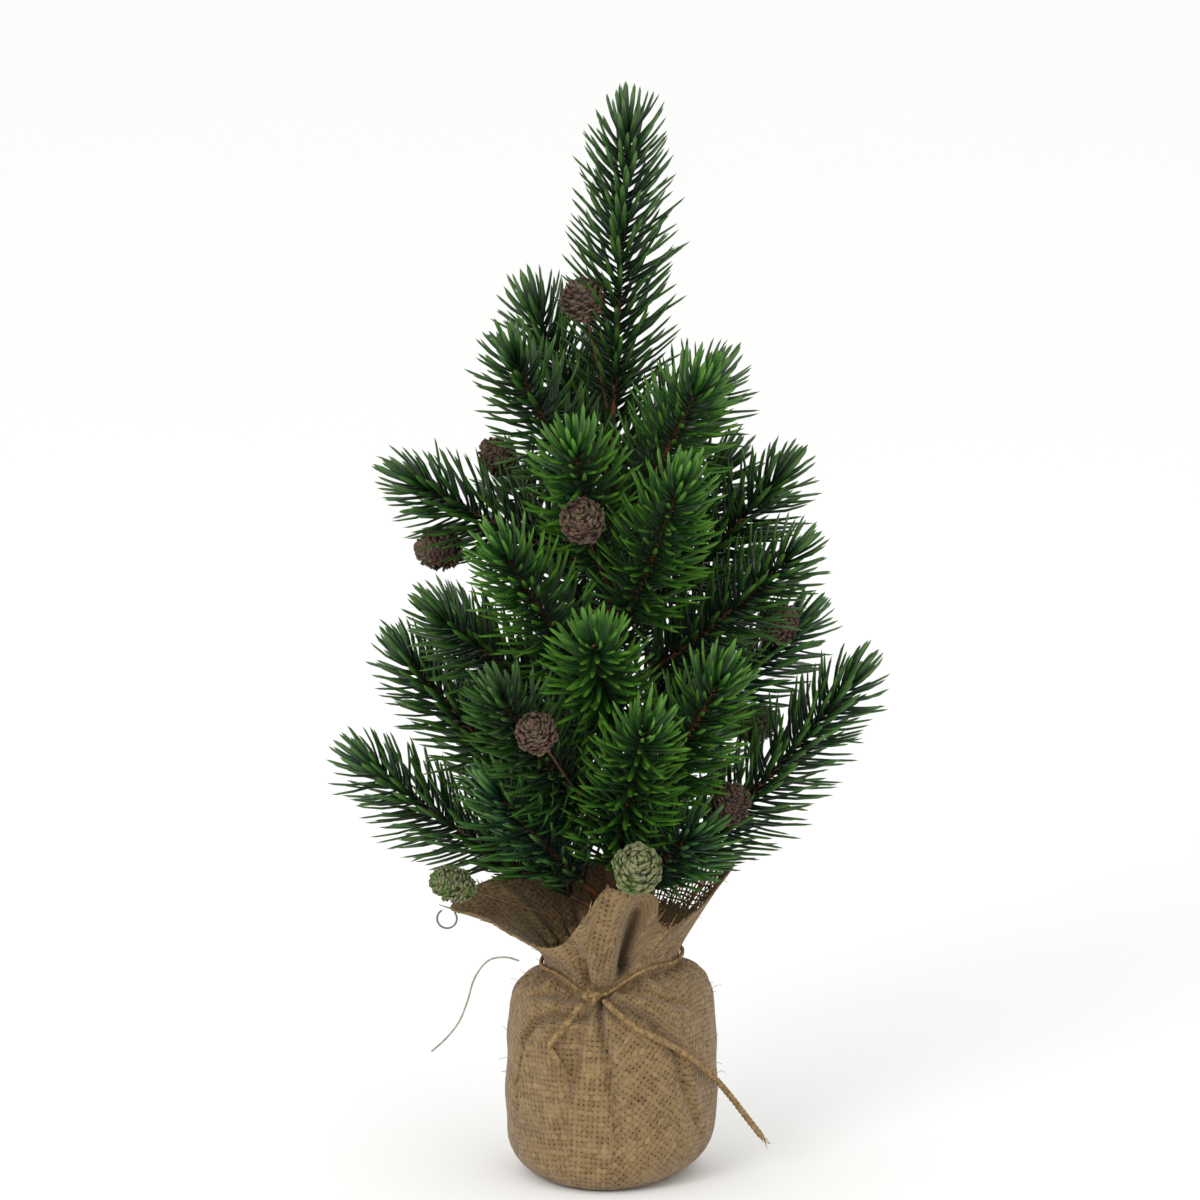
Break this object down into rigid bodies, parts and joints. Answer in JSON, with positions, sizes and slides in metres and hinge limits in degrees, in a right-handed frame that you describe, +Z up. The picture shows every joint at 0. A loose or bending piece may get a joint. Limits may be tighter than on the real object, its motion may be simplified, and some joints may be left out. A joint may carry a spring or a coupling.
{
  "type": "artificial tabletop tree",
  "caption": "Small artificial fir with bendable moulded needle sprigs and small cones on a wrapped trunk, standing in a weighted burlap bag tied at its neck with twine.",
  "frame": {"origin": "centre of the flat resting face under the bag, under the trunk", "axes": "+Z up along the trunk, -Y towards the front, where the twine is knotted, +X to the right seen from the front"},
  "size_m": [0.2261, 0.1876, 0.4512],
  "materials": {
    "needles": "moulded polyethylene needles, dark green with bright tips, satin",
    "cone_brown": "dried scaly cone, matt purple-brown",
    "cone_green": "dried scaly cone with grey-green frosting, matt",
    "burlap": "open plain-weave jute hessian, matt and hairy",
    "twine": "soft laid jute twine",
    "fibre": "single loose jute yarn",
    "wire": "thin soft steel wire",
    "steel": "drawn steel rod",
    "wrap": "brown paper tape",
    "pot": "thin moulded plastic",
    "cement": "cast cement, rough"
  },
  "bodies": {
    "base": {"cement_weight": "cement", "base_pot": "pot", "trunk_rod": "steel", "trunk_wrap": "wrap", "burlap_wrap": "burlap", "twine_band": "twine", "twine_knot": "twine", "twine_tail_right": "twine", "twine_tail_left": "twine", "loose_fibre": "fibre", "cone_wire_loop": "wire", "cone_09": "cone_green", "cone_10": "cone_green"},
    "leader_bough": {"leader_sprig": "needles", "cone_01": "cone_brown"},
    "bough_01": {"sprig_01": "needles"},
    "bough_02": {"sprig_02": "needles"},
    "bough_03": {"sprig_03": "needles"},
    "bough_04": {"sprig_04": "needles"},
    "bough_05": {"sprig_05": "needles", "cone_03": "cone_brown"},
    "bough_06": {"sprig_06": "needles", "cone_02": "cone_brown", "cone_04": "cone_brown"},
    "bough_07": {"sprig_07": "needles"},
    "bough_08": {"sprig_08": "needles"},
    "bough_09": {"sprig_09": "needles"},
    "bough_10": {"sprig_10": "needles"},
    "bough_11": {"sprig_11": "needles", "cone_06": "cone_brown", "cone_07": "cone_green"},
    "bough_12": {"sprig_12": "needles"},
    "bough_13": {"sprig_13": "needles"},
    "bough_14": {"sprig_14": "needles"},
    "bough_15": {"sprig_15": "needles"},
    "bough_16": {"sprig_16": "needles", "cone_05": "cone_brown"},
    "bough_17": {"sprig_17": "needles"},
    "bough_18": {"sprig_18": "needles"},
    "bough_19": {"sprig_19": "needles"},
    "bough_20": {"sprig_20": "needles", "cone_08": "cone_brown"},
    "bough_21": {"sprig_21": "needles"},
    "bough_22": {"sprig_22": "needles"},
    "bough_23": {"sprig_23": "needles"},
    "bough_24": {"sprig_24": "needles"},
    "bough_25": {"sprig_25": "needles"},
    "bough_26": {"sprig_26": "needles", "cone_11": "cone_brown"},
    "bough_27": {"sprig_27": "needles"},
    "bough_28": {"sprig_28": "needles"},
    "bough_29": {"sprig_29": "needles"},
    "bough_30": {"sprig_30": "needles"},
    "bough_31": {"sprig_31": "needles", "cone_12": "cone_brown"}
  },
  "joints": [
    {"name": "leader_bend", "type": "hinge", "parent": "base", "child": "leader_bough", "pos_m": [0, 0, 0.3038], "axis": [0, 1, 0], "range_deg": [-12, 12]},
    {"name": "bend_01", "type": "hinge", "parent": "base", "child": "bough_01", "pos_m": [-0.00381, 0.00267, 0.292], "axis": [0.5736, 0.8191, 0], "range_deg": [-20, 12]},
    {"name": "bend_02", "type": "hinge", "parent": "base", "child": "bough_02", "pos_m": [-0.00362, -0.00304, 0.276], "axis": [-0.6428, 0.766, 0], "range_deg": [-20, 12]},
    {"name": "bend_03", "type": "hinge", "parent": "base", "child": "bough_03", "pos_m": [0.00406, 0.00234, 0.284], "axis": [0.5, -0.866, 0], "range_deg": [-20, 12]},
    {"name": "bend_04", "type": "hinge", "parent": "base", "child": "bough_04", "pos_m": [0.00332, -0.00343, 0.266], "axis": [-0.7193, -0.6947, 0], "range_deg": [-20, 12]},
    {"name": "bend_05", "type": "hinge", "parent": "base", "child": "bough_05", "pos_m": [-0.00127, -0.00473, 0.24], "axis": [-0.9659, 0.2588, 0], "range_deg": [-20, 12]},
    {"name": "bend_06", "type": "hinge", "parent": "base", "child": "bough_06", "pos_m": [-0.00484, -0.00034, 0.25], "axis": [-0.0698, 0.9976, 0], "range_deg": [-20, 12]},
    {"name": "bend_07", "type": "hinge", "parent": "base", "child": "bough_07", "pos_m": [0.00203, -0.00455, 0.222], "axis": [-0.9135, -0.4067, 0], "range_deg": [-20, 12]},
    {"name": "bend_08", "type": "hinge", "parent": "base", "child": "bough_08", "pos_m": [0.00386, 0.00302, 0.24], "axis": [0.6157, -0.788, 0], "range_deg": [-20, 12]},
    {"name": "bend_09", "type": "hinge", "parent": "base", "child": "bough_09", "pos_m": [0.00492, 0.00069, 0.226], "axis": [0.1392, -0.9903, 0], "range_deg": [-20, 12]},
    {"name": "bend_10", "type": "hinge", "parent": "base", "child": "bough_10", "pos_m": [0.00494, -0.00123, 0.2], "axis": [-0.2419, -0.9703, 0], "range_deg": [-20, 12]},
    {"name": "bend_11", "type": "hinge", "parent": "base", "child": "bough_11", "pos_m": [0.00498, 0.00162, 0.17], "axis": [0.309, -0.9511, 0], "range_deg": [-20, 10]},
    {"name": "bend_12", "type": "hinge", "parent": "base", "child": "bough_12", "pos_m": [-0.00328, -0.00391, 0.196], "axis": [-0.766, 0.6428, 0], "range_deg": [-20, 12]},
    {"name": "bend_13", "type": "hinge", "parent": "base", "child": "bough_13", "pos_m": [-0.00489, -0.00159, 0.188], "axis": [-0.309, 0.9511, 0], "range_deg": [-20, 12]},
    {"name": "bend_14", "type": "hinge", "parent": "base", "child": "bough_14", "pos_m": [-0.00538, -0.00019, 0.138], "axis": [-0.0349, 0.9994, 0], "range_deg": [-20, 12]},
    {"name": "bend_15", "type": "hinge", "parent": "base", "child": "bough_15", "pos_m": [-0.00552, 0.00039, 0.108], "axis": [0.0698, 0.9976, 0], "range_deg": [-8, 12]},
    {"name": "bend_16", "type": "hinge", "parent": "base", "child": "bough_16", "pos_m": [-0.0033, -0.00423, 0.142], "axis": [-0.788, 0.6157, 0], "range_deg": [-20, 12]},
    {"name": "bend_17", "type": "hinge", "parent": "base", "child": "bough_17", "pos_m": [-0.00055, -0.00521, 0.168], "axis": [-0.9945, 0.1045, 0], "range_deg": [-20, 12]},
    {"name": "bend_18", "type": "hinge", "parent": "base", "child": "bough_18", "pos_m": [0.00095, -0.0054, 0.118], "axis": [-0.9848, -0.1736, 0], "range_deg": [-8, 12]},
    {"name": "bend_19", "type": "hinge", "parent": "base", "child": "bough_19", "pos_m": [0.00359, -0.00399, 0.142], "axis": [-0.7431, -0.6691, 0], "range_deg": [-20, 12]},
    {"name": "bend_20", "type": "hinge", "parent": "base", "child": "bough_20", "pos_m": [0.00553, -0.00019, 0.108], "axis": [-0.0349, -0.9994, 0], "range_deg": [-8, 8]},
    {"name": "bend_21", "type": "hinge", "parent": "base", "child": "bough_21", "pos_m": [0.00383, -0.00396, 0.112], "axis": [-0.7193, -0.6947, 0], "range_deg": [-8, 8]},
    {"name": "bend_22", "type": "hinge", "parent": "base", "child": "bough_22", "pos_m": [-0.00476, -0.00275, 0.114], "axis": [-0.5, 0.866, 0], "range_deg": [-8, 12]},
    {"name": "bend_23", "type": "hinge", "parent": "base", "child": "bough_23", "pos_m": [-0.00042, 0.00474, 0.268], "axis": [0.9962, 0.0872, 0], "range_deg": [-20, 12]},
    {"name": "bend_24", "type": "hinge", "parent": "base", "child": "bough_24", "pos_m": [0.00169, 0.00464, 0.232], "axis": [0.9397, -0.342, 0], "range_deg": [-20, 12]},
    {"name": "bend_25", "type": "hinge", "parent": "base", "child": "bough_25", "pos_m": [-0.00307, 0.00393, 0.222], "axis": [0.788, 0.6157, 0], "range_deg": [-20, 12]},
    {"name": "bend_26", "type": "hinge", "parent": "base", "child": "bough_26", "pos_m": [0.00018, 0.0051, 0.198], "axis": [0.9994, -0.0349, 0], "range_deg": [-20, 12]},
    {"name": "bend_27", "type": "hinge", "parent": "base", "child": "bough_27", "pos_m": [0.00348, 0.00387, 0.176], "axis": [0.7431, -0.6691, 0], "range_deg": [-20, 12]},
    {"name": "bend_28", "type": "hinge", "parent": "base", "child": "bough_28", "pos_m": [-0.00456, 0.00263, 0.164], "axis": [0.5, 0.866, 0], "range_deg": [-20, 12]},
    {"name": "bend_29", "type": "hinge", "parent": "base", "child": "bough_29", "pos_m": [-0.00131, 0.00524, 0.136], "axis": [0.9703, 0.2419, 0], "range_deg": [-20, 12]},
    {"name": "bend_30", "type": "hinge", "parent": "base", "child": "bough_30", "pos_m": [0.0029, 0.00464, 0.12], "axis": [0.848, -0.5299, 0], "range_deg": [-8, 12]},
    {"name": "bend_31", "type": "hinge", "parent": "base", "child": "bough_31", "pos_m": [-0.00383, 0.00397, 0.11], "axis": [0.7193, 0.6947, 0], "range_deg": [-8, 12]}
  ]
}
